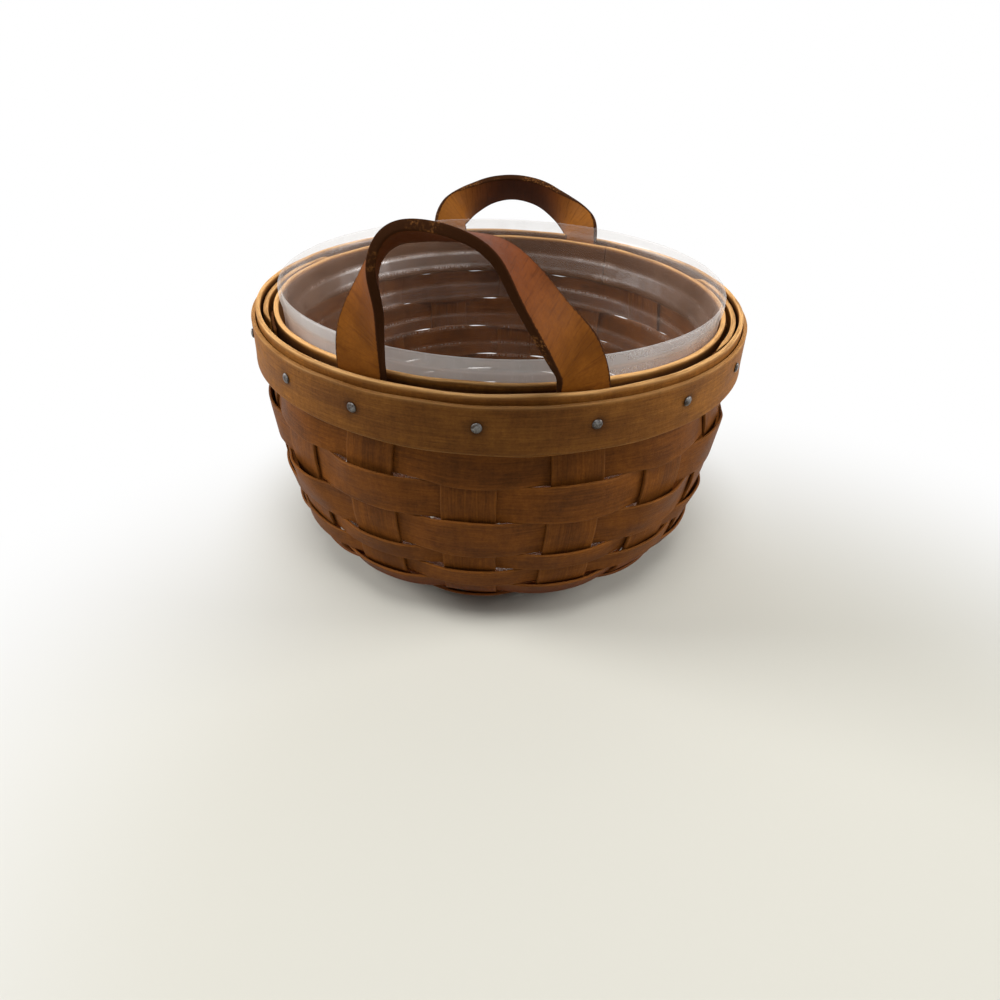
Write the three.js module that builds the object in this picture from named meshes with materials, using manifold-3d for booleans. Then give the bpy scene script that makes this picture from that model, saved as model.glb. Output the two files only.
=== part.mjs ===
// A small round basket of maple splints: sixteen stakes from eight splints crossed under the base, rings of
// weaver over and under them, a nailed rim of three hoops, two leather ears and a loose clear plastic liner.
// Millimetres, +Z up. The origin is the centre of the underside; one ear stands over -Y, the other over +Y.

import * as THREE from "three";
import { mergeVertices } from "three/addons/utils/BufferGeometryUtils.js";
import Module from "manifold-3d";

const wasm = await Module();
wasm.setup();

// Whole basket
const rimRadius = 91.7; // outer face of the trim hoop
const basketHeight = 96; // floor to the top edge of the outer hoop
const fit = 0.35; // clearance between pieces that lie on each other

// Splints and weavers
const stakeCount = 16;
const stakeWidth = 17.5;
const splintThickness = 1;
const baseTaper = 0.236; // width of a stake under the base, for each millimetre from the centre
const waistWidth = 6; // width of a splint where all eight cross
const weaverThickness = 1;
const rowGap = 0.5; // between neighbouring rows of weaver
const weaverClearance = 0.3; // between a weaver and the stake it crosses
const wallRowWidths = [1, 1, 1, 0.53, 0.53]; // relative, from the rim down: three wide rows, two narrow ones
const heelRowCount = 4; // narrow rows round the heel, between the wall and the flat of the base
const baseRowCount = 4;

// Side outline. The wall swells a little below the rim and draws in to the heel, where the stakes turn under.
// A point of the wall is [share of the way down, millimetres outside its top] and a point of the heel is
// [millimetres inside the wall's top, height].
const wallShape = [[0, 0], [0.278, 1.85], [0.609, 0.35], [1, -3.6]];
const heelHeight = 21.1;
const heelShape = [[7.6, 14.4], [20, 4.9]];
const heelReach = 28.15; // the base is flat from this far inside the wall's top

// Base, as distances from the centre
const hubEnd = 31; // the innermost row of weaver ends here
const crossingEnd = 17; // the splints lie layer on layer inside this
const layerGap = 0.2; // between the layers of crossed splints

// Rim hoops: each depth is measured down from the hoop's own top edge
const trimThickness = 1.6;
const trimDepth = 15.2;
const trimDrop = 2.8; // top edge below that of the outer hoop
const outerHoopThickness = 1.6;
const outerHoopDepth = 19.5;
const innerHoopThickness = 1.7;
const innerHoopDepth = 16.6;
const innerHoopDrop = 1.2;
const weaveDrop = 18.4; // the weaving starts this far below the top edge
const stakeDrop = 5; // the stakes are trimmed this far below it

// Strips that fill the slot of the rim on either side, between the ears
const fillerDrop = 1.5;
const fillerDepth = 11;
const fillerHalfAngle = 27; // degrees, either way from the X axis

// Leather ears
const leatherWidth = 16.2;
const leatherThickness = 2.8;
const earTailDepth = 15; // length of leather nailed into the slot of the rim
const leatherSteps = 4; // sections of leather for each station of its curve

// Nails
const nailShankRadius = 0.6;
const nailHoleRadius = 0.9;
const nailHeadRadius = 1.65;
const nailHeadHeight = 0.8;
const nailDrop = 9.3; // below the top edge
const nailTipInset = 0.3; // the tip stays this far inside the inner hoop

// Plastic liner
const linerRise = 6.6; // stands this far above the rim
const linerPlay = 0.9; // between its lip and the inner hoop
const linerWall = 1;
const lipHeight = 4;
const lipStep = 0.6; // the lip stands out this far from the wall
const linerDraft = 0.035; // the wall draws in this much for each millimetre down
const ringCount = 4; // stepped rings in the wall
const ringTop = 14.6; // first ring below the liner's top edge
const ringPitch = 14;
const ringHeight = 6;
const ringStep = 1.5;
const linerCorner = 18; // radius between wall and floor
const linerSeat = 0.4; // between the liner's floor and the woven base

// How finely curves are divided
const hoopSides = 64;
const linerSides = 40;
const nailSides = 8;
const domeSteps = 2; // nail head, from its rim to its crown
const cornerSteps = 3; // liner, from its wall to its floor
const fillerSteps = 10;
const tailSteps = 2;
const mergeDistance = 1e-4; // corners nearer to each other than this are one

// Worked out from the sizes above: radii through the rim from outside to inside
const pitch = (2 * Math.PI) / stakeCount;
const trimInner = rimRadius - trimThickness;
const outerHoopOuter = trimInner - fit;
const outerHoopInner = outerHoopOuter - outerHoopThickness;
const slotOuter = outerHoopInner - fit;
const slotInner = slotOuter - leatherThickness;
const stakeRimRadius = slotInner - fit - splintThickness / 2;
const innerHoopOuter = stakeRimRadius - splintThickness / 2 - fit;
const innerHoopInner = innerHoopOuter - innerHoopThickness;
const linerRadius = innerHoopInner - linerPlay;
const heelEnd = stakeRimRadius - heelReach;
const weaverLift = splintThickness / 2 + weaverClearance + weaverThickness / 2;
const baseLevel = weaverLift + weaverThickness / 2; // the splints' own level in the flat of the base
const nailLevel = basketHeight - nailDrop;

// What make returns for each share from 0 to 1 in a number of even steps.
function evenly(steps, make) {
  return Array.from({ length: steps + 1 }, (_, i) => make(i / steps));
}

const vector = ([radius, height]) => new THREE.Vector2(radius, height);

// The point at an angle from the front (-Y) towards +X.
function around(angle, radius, z) {
  return new THREE.Vector3(radius * Math.sin(angle), -radius * Math.cos(angle), z);
}

// A solid skinned over cross-sections that all have the same number of points. Each section lists one long
// side and then the other side back, so that point i faces point n - 1 - i across it, also in the end caps.
function loft(sections, closed = false) {
  const n = sections[0].length;
  const positions = sections.flat().flatMap((p) => [p.x, p.y, p.z]);
  const faces = [];
  const quad = (a, b, c, d) => faces.push(a, b, c, a, c, d);
  const runs = closed ? sections.length : sections.length - 1;
  for (let s = 0; s < runs; s++) {
    const here = s * n;
    const next = ((s + 1) % sections.length) * n;
    for (let i = 0; i < n; i++) {
      const j = (i + 1) % n;
      quad(here + i, here + j, next + j, next + i);
    }
  }
  if (!closed) {
    const last = (sections.length - 1) * n;
    for (let i = 0; i < n / 2 - 1; i++) {
      quad(i, n - 1 - i, n - 2 - i, i + 1);
      quad(last + i, last + i + 1, last + n - 2 - i, last + n - 1 - i);
    }
  }
  const geometry = new THREE.BufferGeometry();
  geometry.setAttribute("position", new THREE.Float32BufferAttribute(positions, 3));
  geometry.setIndex(faces);
  return facingOut(geometry);
}

// Turns every face round if the closed surface has a negative volume.
function facingOut(geometry) {
  const index = geometry.index.array;
  const corners = geometry.attributes.position;
  const [a, b, c] = [new THREE.Vector3(), new THREE.Vector3(), new THREE.Vector3()];
  let volume = 0;
  for (let i = 0; i < index.length; i += 3) {
    a.fromBufferAttribute(corners, index[i]);
    b.fromBufferAttribute(corners, index[i + 1]);
    c.fromBufferAttribute(corners, index[i + 2]);
    volume += a.dot(b.cross(c));
  }
  if (volume < 0) {
    for (let i = 0; i < index.length; i += 3) {
      [index[i + 1], index[i + 2]] = [index[i + 2], index[i + 1]];
    }
  }
  return geometry;
}

// A closed profile of [radius, height] points turned round the Z axis.
function turned(profile, sides) {
  return new THREE.LatheGeometry(profile.map(vector), sides).rotateX(Math.PI / 2);
}

function hoop(inner, outer, bottom, top) {
  return turned([[inner, bottom], [outer, bottom], [outer, top], [inner, top], [inner, bottom]], hoopSides);
}

// A curved strip standing in the slot of the rim between two angles.
function slotStrip(from, to, bottom, top, steps) {
  const sections = evenly(steps, (share) => {
    const angle = THREE.MathUtils.lerp(from, to, share);
    return [
      around(angle, slotOuter, bottom),
      around(angle, slotOuter, top),
      around(angle, slotInner, top),
      around(angle, slotInner, bottom),
    ];
  });
  return loft(sections);
}

// Geometry to solid and back, for drilling.
function solidOf(geometry) {
  const bare = geometry.clone().deleteAttribute("normal").deleteAttribute("uv");
  const merged = mergeVertices(bare, mergeDistance);
  return new wasm.Manifold(
    new wasm.Mesh({
      numProp: 3,
      vertProperties: new Float32Array(merged.attributes.position.array),
      triVerts: new Uint32Array(merged.index.array),
    }),
  );
}

function geometryOf(solid) {
  const mesh = solid.getMesh();
  const geometry = new THREE.BufferGeometry();
  geometry.setAttribute("position", new THREE.BufferAttribute(mesh.vertProperties, 3));
  geometry.setIndex(new THREE.BufferAttribute(mesh.triVerts, 1));
  return geometry;
}

// Nails: one through the rim at each stake, driven by eye, so each drifts some millimetres along the rim.
// The list starts at the front ear's middle and goes towards +X.
const nailDrifts = [2.8, 2.2, 0.2, -1.4, 1.2, 0.6, -2, 1, -0.8, 1.6, -1, 0.4, 1.8, -0.6, 5.4, -0.3];
const nails = nailDrifts.map((drift, i) => ({ stake: i, angle: i * pitch + drift / rimRadius }));

function nailHole(nail) {
  const from = innerHoopInner - fit;
  const to = rimRadius + fit;
  const hole = new THREE.CylinderGeometry(nailHoleRadius, nailHoleRadius, to - from, nailSides);
  return hole.rotateZ(nail.angle).translate(...around(nail.angle, (from + to) / 2, nailLevel));
}

function drilled(geometry, through) {
  let solid = solidOf(geometry);
  for (const nail of through) {
    solid = solid.subtract(solidOf(nailHole(nail)));
  }
  return geometryOf(solid);
}

const nailsBetween = (from, to) => nails.filter((nail) => nail.angle > from && nail.angle < to);

// The splints' middle line from the rim down to the flat of the base.
const wallLine = new THREE.SplineCurve(
  wallShape.map(([down, out]) => {
    const height = THREE.MathUtils.lerp(basketHeight - weaveDrop, heelHeight, down);
    return new THREE.Vector2(stakeRimRadius + out, height);
  }),
);
const heelLine = new THREE.SplineCurve([
  wallLine.getPoint(1),
  ...heelShape.map(([inside, height]) => new THREE.Vector2(stakeRimRadius - inside, height)),
  new THREE.Vector2(heelEnd, baseLevel),
]);

// Row edges down the wall, round the heel and in along the base: each row of weaver lies between two of them.
const wallEdges = [wallLine.getPointAt(0)];
const allRows = wallRowWidths.reduce((sum, width) => sum + width, 0);
let rowsAbove = 0;
for (const width of wallRowWidths) {
  rowsAbove += width;
  wallEdges.push(wallLine.getPointAt(rowsAbove / allRows));
}
const heelEdges = evenly(heelRowCount, (share) => heelLine.getPointAt(share));
const baseEdges = evenly(
  baseRowCount,
  (share) => new THREE.Vector2(THREE.MathUtils.lerp(heelEnd, hubEnd, share), baseLevel),
);
const stakeWidthAt = (radius) => Math.max(Math.min(stakeWidth, baseTaper * radius), waistWidth);

// The outward side of a run of the middle line: away from the axis on the wall, down under the base.
function outward(from, to) {
  const run = to.clone().sub(from).normalize();
  return new THREE.Vector2(-run.y, run.x);
}

// The middle line moved outwards by a distance, with mitred corners.
function offsetLine(line, distance) {
  return line.map((point, i) => {
    const before = outward(line[Math.max(i - 1, 0)], line[Math.max(i, 1)]);
    const after = outward(line[Math.min(i, line.length - 2)], line[Math.min(i + 1, line.length - 1)]);
    const mitre = before.clone().add(after).normalize();
    return point.clone().addScaledVector(mitre, distance / mitre.dot(before));
  });
}

// One splint: down a wall, under the base through its own layer of the crossing, and up the opposite wall.
function splint(layer) {
  const crossing = splintThickness / 2 + layer * (splintThickness + layerGap);
  const line = [
    new THREE.Vector2(stakeRimRadius, basketHeight - stakeDrop),
    ...wallEdges,
    ...heelEdges.slice(1, -1),
    ...baseEdges,
    new THREE.Vector2(crossingEnd, crossing),
  ];
  // The last run is level, so the line is lengthened to the centre while its corners are mitred.
  const toCentre = [...line, new THREE.Vector2(0, crossing)];
  const faces = [splintThickness / 2, -splintThickness / 2].map((distance) =>
    offsetLine(toCentre, distance).slice(0, -1),
  );
  const side = (heading, turn) =>
    line.map((point, i) => {
      const half = turn * Math.asin(stakeWidthAt(point.x) / 2 / point.x);
      const across = [heading - half, heading, heading + half];
      const [outer, inner] = faces.map((face) => across.map((angle) => around(angle, face[i].x, face[i].y)));
      return [...outer, ...inner.reverse()];
    });
  const heading = layer * pitch;
  return loft([...side(heading, 1), ...side(heading + Math.PI, -1).reverse()]);
}

// One ring of weaver between two row edges: outside the stakes whose number has the given parity, inside
// the others, and level with them half-way between. It follows the wall round each stake, and under the base
// it crosses each one straight.
function weaver(from, to, parity) {
  const normal = outward(from, to);
  const inset = rowGap / 2 / from.distanceTo(to);
  const edges = [from.clone().lerp(to, inset), from.clone().lerp(to, 1 - inset)];
  const half = Math.max(...edges.map((edge) => (stakeWidthAt(edge.x) / 2 + weaverClearance) / edge.x));
  const underBase = from.y === to.y;
  const overStake = underBase ? [-half, half] : [-half, 0, half];
  const sections = [];
  for (let stake = 0; stake < stakeCount; stake++) {
    const lift = stake % 2 === parity ? weaverLift : -weaverLift;
    const stations = [...overStake.map((turn) => [turn, lift]), [pitch / 2, 0]];
    for (const [turn, distance] of stations) {
      const [outer, inner] = [weaverThickness / 2, -weaverThickness / 2].map((face) =>
        edges.map((edge) => {
          const point = edge.clone().addScaledVector(normal, distance + face);
          return around(stake * pitch + turn, point.x, point.y);
        }),
      );
      sections.push([...outer, ...inner.reverse()]);
    }
  }
  return loft(sections, true);
}

// Leather ears. Each station of the strap's middle line is [share of the way from the middle to a foot,
// millimetres outwards from the feet, millimetres above the rim, turn, tilt]. Turn and tilt are in degrees.
// They aim the strap's width from the outer edge of the loop to its inner edge. The first two stations at
// each end hold the leather upright in the slot. Feet are in degrees round the rim from the ear's own side.
const ears = {
  front: {
    side: -1,
    feet: [-22.5, 22],
    stations: [
      [-1, 0, -8, 22.5, 0], [-1, 0, 0, 22.5, 0], [-0.98, 1.1, 8.5, 25, -4],
      [-0.95, 3.2, 15, 31, -9], [-0.87, 6.2, 24, 48, -10], [-0.75, 7.8, 35, 82, 3],
      [-0.5, 8.5, 42, 100, 23], [-0.12, 10, 42.8, 94, 20], [0.24, 10.6, 39.6, 94, 5],
      [0.49, 10.7, 30.5, 109, -13], [0.7, 9.4, 21, 119, -18], [0.85, 5.8, 14.5, 133, -15],
      [0.97, 1.4, 8.5, 149, -4], [1, 0, 0, 158, 0], [1, 0, -8, 158, 0],
    ],
  },
  rear: {
    side: 1,
    feet: [-22, 20],
    stations: [
      [-1, 0, -8, 22, 0], [-1, 0, 0, 22, 0], [-1.01, 2.8, 6.5, 24, -12],
      [-1.01, 8, 8.2, 29, -30], [-0.98, 14.5, 8.2, 41, -48], [-0.83, 22, 10, 66, -58],
      [-0.46, 27, 13, 84, -58], [-0.05, 28.5, 14, 94, -55], [0.33, 27, 12.5, 104, -56],
      [0.67, 21.5, 9.5, 118, -55], [0.88, 14.5, 8.5, 140, -44], [1, 8, 8.5, 152, -26],
      [1.01, 2.6, 6.5, 158, -10], [1, 0, 0, 160, 0], [1, 0, -8, 160, 0],
    ],
  },
};
const footRadius = (slotOuter + slotInner) / 2;
const degrees = Math.PI / 180;
const rimStation = 1;
const hingeStation = 2; // the leather bends between the rim and this station, and swings as one beyond it
const seam = 0.14; // share of a station left free where two stretches of leather meet

// The stretch of an ear's leather between two of its stations.
function leather({ side, feet, stations }, from, to) {
  const [left, right] = feet.map((foot) => around(foot * degrees, footRadius, basketHeight));
  const middlePoints = stations.map(([share, out, up]) => {
    const point = left.clone().lerp(right, (share + 1) / 2).add(new THREE.Vector3(0, -out, up));
    return point.multiply(new THREE.Vector3(1, -side, 1));
  });
  const aimPoints = stations.map(([, , , turn, tilt]) => new THREE.Vector3(turn * degrees, tilt * degrees, 0));
  const middle = new THREE.CatmullRomCurve3(middlePoints, false, "catmullrom");
  const aim = new THREE.CatmullRomCurve3(aimPoints, false, "catmullrom");
  const steps = Math.ceil((to - from) * leatherSteps);
  const sections = evenly(steps, (along) => {
    const share = THREE.MathUtils.lerp(from, to, along) / (stations.length - 1);
    const { x: turn, y: tilt } = aim.getPoint(share);
    const run = middle.getTangent(share);
    const width = new THREE.Vector3(
      Math.cos(turn) * Math.cos(tilt),
      side * Math.sin(turn) * Math.cos(tilt),
      Math.sin(tilt),
    );
    const depth = run.clone().cross(width).setLength(leatherThickness / 2);
    width.addScaledVector(run, -run.dot(width)).setLength(leatherWidth / 2);
    const centre = middle.getPoint(share);
    const corner = (w, d) => centre.clone().addScaledVector(width, w).addScaledVector(depth, d);
    return [corner(1, 1), corner(-1, 1), corner(-1, -1), corner(1, -1)];
  });
  return loft(sections);
}

// The liner's outline as [radius, height] from its top edge down and in to the axis. Its wall steps in at
// each ring, and its floor is raised in the middle, over the crossing of the splints.
function linerOutline(inset) {
  const top = basketHeight + linerRise;
  const floor = baseLevel + weaverLift + weaverThickness / 2 + linerSeat;
  const crossingTop = stakeCount / 2 * (splintThickness + layerGap) + linerSeat;
  const wallAt = (depth, steps) => linerRadius - lipStep - linerDraft * depth - ringStep * steps - inset;
  const outline = [
    [linerRadius - inset, top],
    [linerRadius - inset, top - lipHeight],
    [wallAt(lipHeight, 0), top - lipHeight - lipStep],
  ];
  for (let i = 0; i < ringCount; i++) {
    const depth = ringTop + i * ringPitch;
    outline.push([wallAt(depth, i), top - depth]);
    outline.push([wallAt(depth + ringHeight, i + 1), top - depth - ringHeight]);
  }
  const cornerHeight = floor + linerCorner;
  const cornerCentre = wallAt(top - cornerHeight, ringCount) + inset - linerCorner;
  const cornerRadius = linerCorner - inset;
  const corner = evenly(cornerSteps, (share) => {
    const turn = share * (Math.PI / 2);
    return [cornerCentre + cornerRadius * Math.cos(turn), cornerHeight - cornerRadius * Math.sin(turn)];
  });
  outline.push(...corner);
  outline.push([hubEnd + weaverLift, floor + inset]);
  outline.push([crossingEnd + weaverLift, crossingTop + inset]);
  outline.push([0, crossingTop + inset]);
  return outline;
}

function liner() {
  return turned([...linerOutline(0).reverse(), ...linerOutline(linerWall)], linerSides);
}

// A nail with its tip down and the underside of its domed head at height 0.
function nailBody() {
  const tip = -(rimRadius - innerHoopInner - nailTipInset);
  const dome = evenly(domeSteps, (share) => {
    const turn = share * (Math.PI / 2);
    return [nailHeadRadius * Math.cos(turn), nailHeadHeight * Math.sin(turn)];
  });
  dome[domeSteps][0] = 0;
  const profile = [[0, tip], [nailShankRadius, tip], [nailShankRadius, 0], ...dome];
  return new THREE.LatheGeometry(profile.map(vector), nailSides);
}

// Finishes
function finish(color, roughness, metalness = 0) {
  return new THREE.MeshStandardMaterial({ color, roughness, metalness });
}

const stainedMaple = () => finish(0x9a6230, 0.55);
const rimMaple = () => finish(0xa8702f, 0.5);
const saddleLeather = () => finish(0x8a4a28, 0.6);
const nailSteel = () => finish(0x6c6f72, 0.4, 0.9);
const clearPlastic = () => {
  const plastic = finish(0xe8ecee, 0.15);
  plastic.transparent = true;
  plastic.opacity = 0.35;
  return plastic;
};

// Assembly
const basket = new THREE.Group();

function add(name, geometry, material) {
  const mesh = new THREE.Mesh(geometry, material);
  mesh.name = name;
  basket.add(mesh);
  return mesh;
}

for (let layer = 0; layer < stakeCount / 2; layer++) {
  const ends = nails.filter((nail) => nail.stake % (stakeCount / 2) === layer);
  add("stake_splint_" + (layer + 1), drilled(splint(layer), ends), stainedMaple());
}

let rowsWoven = 0;
for (const [place, edges] of Object.entries({ wall: wallEdges, heel: heelEdges, base: baseEdges })) {
  edges.slice(1).forEach((edge, row) => {
    add(place + "_weaver_" + (row + 1), weaver(edges[row], edge, rowsWoven % 2), stainedMaple());
    rowsWoven += 1;
  });
}

const hoops = {
  inner_hoop: [innerHoopInner, innerHoopOuter, innerHoopDrop, innerHoopDepth],
  outer_hoop: [outerHoopInner, outerHoopOuter, 0, outerHoopDepth],
  trim_hoop: [trimInner, rimRadius, trimDrop, trimDepth],
};
for (const [name, [inner, outer, drop, depth]] of Object.entries(hoops)) {
  const top = basketHeight - drop;
  add(name, drilled(hoop(inner, outer, top - depth, top), nails), rimMaple());
}

const fillerSides = { right_rim_filler: 90 * degrees, left_rim_filler: 270 * degrees };
for (const [name, middle] of Object.entries(fillerSides)) {
  const from = middle - fillerHalfAngle * degrees;
  const to = middle + fillerHalfAngle * degrees;
  const top = basketHeight - fillerDrop;
  const strip = slotStrip(from, to, top - fillerDepth, top, fillerSteps);
  add(name, drilled(strip, nailsBetween(from, to)), rimMaple());
}

const tailHalfAngle = leatherWidth / 2 / footRadius;
for (const [where, ear] of Object.entries(ears)) {
  const last = ear.stations.length - 1;
  add(where + "_ear_strap", leather(ear, hingeStation, last - hingeStation), saddleLeather());
  const bends = {
    left: [rimStation + seam, hingeStation - seam],
    right: [last - hingeStation + seam, last - rimStation - seam],
  };
  Object.entries(bends).forEach(([hand, stretch], end) => {
    add(where + "_ear_" + hand + "_bend", leather(ear, ...stretch), saddleLeather());
    const foot = ear.side < 0 ? ear.feet[end] * degrees : Math.PI - ear.feet[end] * degrees;
    const nail = nails[(Math.round(foot / pitch) + stakeCount) % stakeCount];
    const [from, to] = [foot - tailHalfAngle, foot + tailHalfAngle];
    const tail = slotStrip(from, to, basketHeight - earTailDepth, basketHeight, tailSteps);
    add(where + "_ear_" + hand + "_tail", drilled(tail, [nail]), saddleLeather());
  });
}

nails.forEach((nail, i) => {
  const mesh = add("rim_nail_" + String(i + 1).padStart(2, "0"), nailBody(), nailSteel());
  mesh.position.copy(around(nail.angle, rimRadius + fit / 2, nailLevel));
  mesh.quaternion.setFromUnitVectors(new THREE.Vector3(0, 1, 0), around(nail.angle, 1, 0));
});

add("plastic_liner", liner(), clearPlastic());

export default basket;
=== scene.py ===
# A small round basket of stained maple splints with a nailed rim, two leather ears and a clear plastic liner.
# The sections follow the basket as it is made, from its splints to its liner, and end with floor, light and
# camera. Lengths are in millimetres, and become metres when a mesh is made. Angles run from the front (-Y)
# towards +X.

import bpy
import numpy as np
from mathutils import Matrix, Vector


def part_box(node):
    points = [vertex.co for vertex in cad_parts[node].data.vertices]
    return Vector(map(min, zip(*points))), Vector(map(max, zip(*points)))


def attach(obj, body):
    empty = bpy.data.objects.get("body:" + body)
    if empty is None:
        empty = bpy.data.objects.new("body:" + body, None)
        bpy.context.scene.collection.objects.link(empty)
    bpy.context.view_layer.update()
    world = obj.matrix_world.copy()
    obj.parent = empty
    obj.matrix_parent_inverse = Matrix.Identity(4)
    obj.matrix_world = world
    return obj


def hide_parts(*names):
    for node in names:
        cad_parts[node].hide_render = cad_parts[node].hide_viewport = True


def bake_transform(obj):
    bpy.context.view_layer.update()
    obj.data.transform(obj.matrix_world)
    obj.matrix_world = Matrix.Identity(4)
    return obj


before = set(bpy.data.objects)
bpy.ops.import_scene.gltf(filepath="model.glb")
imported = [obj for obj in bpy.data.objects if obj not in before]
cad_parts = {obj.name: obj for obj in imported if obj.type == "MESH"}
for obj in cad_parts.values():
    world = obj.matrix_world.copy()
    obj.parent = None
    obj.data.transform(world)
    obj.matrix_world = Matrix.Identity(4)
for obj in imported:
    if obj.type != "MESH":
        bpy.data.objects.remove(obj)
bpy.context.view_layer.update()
scene = bpy.context.scene


# Splints
# Eight strips of maple split along the grain, stained brown. Each makes two opposite stakes: it comes down
# one wall, crosses the other seven under the base and goes up the far wall. Its ends are nailed between the
# hoops.

METRES = 0.001  # one millimetre
UPWARD = np.array([0.0, 0.0, 1.0])
STAKES = 16
PITCH = 2 * np.pi / STAKES
RIM_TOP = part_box("outer_hoop")[1].z / METRES
STAKE_TOP = RIM_TOP - 5  # inside the slot of the rim
WEAVE_TOP = RIM_TOP - 18.4  # upper edge of the first weaver
HEEL_TOP = 21.1  # height at which the wall begins to turn under
BASE_LEVEL = 1.8  # height of the splints' middle in the flat of the base
BASE_EDGE = 56  # radius at which the heel meets the flat base
HUB_EDGE = 31  # radius inside which nothing is woven
CROSSING_EDGE = 17  # radius inside which the splints lie one on another
STAKE_RADIUS = 84.15
# Radius and height of the stakes' middle, from the first weaver to the flat base.
WALL = [(STAKE_RADIUS, WEAVE_TOP), (86.0, 61.9), (84.5, 43.2), (80.55, HEEL_TOP)]
HEEL = [WALL[-1], (76.55, 14.4), (64.15, 4.9), (BASE_EDGE, BASE_LEVEL)]
SPLINT_WIDTH = 17.5
SPLINT_TAPER = 0.236  # width of a splint under the base for each millimetre from the centre
SPLINT_WAIST = 6  # width in the middle of the crossing
SPLINT_THICKNESS = 1.0
SPLIT_EDGE = 0.25  # rounding of the long edges of splints and weavers
LAYER_HEIGHT = 1.2  # from one splint to the next in the crossing
WALL_ROWS = np.array([1, 1, 1, 0.53, 0.53])  # relative widths of the weavers from the rim down
HEEL_ROWS = 4
BASE_ROWS = 4
STAKE_SWAY = 0.35  # a stake is pushed this far inwards or outwards by the weaver that crosses it
SWAY_REACH = 3  # points to each side over which that push is smoothed
STAKE_DRIFT = 0.3  # a stake wanders this far sideways
DRIFT_TURN = 9  # radians that its wandering turns through from end to end
DRIFT_START = 6  # it starts at up to this many radians
DRIFT_RADII = (60, 80)  # radii between which it sets in
LINE_STEP = 1.0
CORNER_REACH = 6  # points to each side over which the corners of a line are smoothed
EDGE_SHARE = 0.95  # points at this share of the half width keep the mark along a face's edge narrow
EDGE_MARK_FROM = 0.925  # share of the half width at which the mark along a face's edge begins
FACE_EDGE_MARK = 0.6  # how strong that mark is at a face's very edge, where the rounding beyond is 1
GRAIN_LENGTH = 3000  # each strip's grain starts somewhere in that much wood
OVAL_START, OVAL_END = 60, 84  # heights between which the basket goes from round to slightly oval
OVAL_SHARE = 0.0105  # share by which the inner hoop is narrower from side to side
OVAL_GROWTH = 0.00076  # what each millimetre further out adds to that
OVAL_RADII = (82.5, 91.7)  # the inner hoop and the trim

random = np.random.default_rng(16)


def smooth_line(points, steps=24):
    """Catmull-Rom curve: each span is the cubic whose end slopes are half the chord of the neighbours."""
    points = np.asarray(points, float)
    padded = np.vstack([points[:1], points, points[-1:]])
    spans = len(points) - 1
    before, here, there, after = (padded[i : i + spans, None] for i in range(4))
    t = np.linspace(0, 1, steps, endpoint=False)[None, :, None]
    square = 2 * before - 5 * here + 4 * there - after
    cube = 3 * here - before - 3 * there + after
    curve = 0.5 * (2 * here + (there - before) * t + square * t**2 + cube * t**3)
    return np.vstack([curve.reshape(-1, points.shape[1]), points[-1:]])


def distance_along(line):
    """Running sum of the distances between neighbouring points."""
    return np.concatenate([[0], np.cumsum(np.linalg.norm(np.diff(line, axis=0), axis=1))])


def interpolated(wanted, along, points):
    """The points read at the wanted distances, where along holds the distance of each."""
    return np.stack([np.interp(wanted, along, column) for column in points.T], axis=1)


def even_line(line, step):
    """The same line with its points about one step apart."""
    along = distance_along(line)
    return interpolated(np.linspace(0, along[-1], int(round(along[-1] / step)) + 1), along, line)


def softened(line, reach):
    """Each point becomes the raised-cosine mean of its neighbours within reach. The ends stay in place."""
    weights = np.hanning(2 * reach + 3)[1:-1]
    before = 2 * line[0] - line[reach:0:-1]
    after = 2 * line[-1] - line[-2 : -reach - 2 : -1]
    padded = np.vstack([before, line, after])
    return np.stack([np.convolve(column, weights / weights.sum(), "valid") for column in padded.T], axis=1)


def unit(vectors):
    """Each vector divided by its length."""
    return vectors / np.linalg.norm(vectors, axis=-1, keepdims=True)


def smooth_step(low, high, value):
    """0 below low and 1 above high, with a smooth S between them."""
    share = np.clip((value - low) / (high - low), 0, 1)
    return share * share * (3 - 2 * share)


def outward_at(angle):
    """Level direction away from the axis at an angle."""
    return np.stack([np.sin(angle), -np.cos(angle), 0 * angle], axis=-1)


def sideways_at(angle):
    """Level direction along the rim at an angle, to the right as seen from outside."""
    return np.stack([np.cos(angle), np.sin(angle), 0 * angle], axis=-1)


def side_line(layer):
    """Radius and height of a stake's middle line from its top to the centre of the base."""
    level = SPLINT_THICKNESS / 2 + layer * LAYER_HEIGHT
    ends = [(HUB_EDGE, BASE_LEVEL), (CROSSING_EDGE, level), (0, level)]
    line = np.vstack([[(STAKE_RADIUS, STAKE_TOP)], smooth_line(WALL), smooth_line(HEEL)[1:], ends])
    return even_line(softened(even_line(line, LINE_STEP / 2), CORNER_REACH), LINE_STEP)


def outward_of(line):
    """The line's direction turned a quarter: away from the axis on the wall and down under the base."""
    run = unit(np.gradient(line, axis=0))
    return np.stack([-run[:, 1], run[:, 0]], axis=1)


wall_line = side_line(1)
wall_along = distance_along(wall_line)
weave_start = np.interp(-WEAVE_TOP, -wall_line[:, 1], wall_along)
weave_end = np.interp(-HEEL_TOP, -wall_line[:, 1], wall_along)
base_start, base_end = np.interp([-BASE_EDGE, -HUB_EDGE], -wall_line[:, 0], wall_along)
row_shares = np.concatenate([[0], np.cumsum(WALL_ROWS)]) / WALL_ROWS.sum()
wall_edges = weave_start + (weave_end - weave_start) * row_shares
heel_edges = np.linspace(weave_end, base_start, HEEL_ROWS + 1)
base_edges = np.linspace(base_start, base_end, BASE_ROWS + 1)
edges = np.concatenate([wall_edges, heel_edges[1:], base_edges[1:]])
row_edges = np.stack([edges[:-1], edges[1:]], axis=1)
row_middles = row_edges.mean(axis=1)


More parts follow.
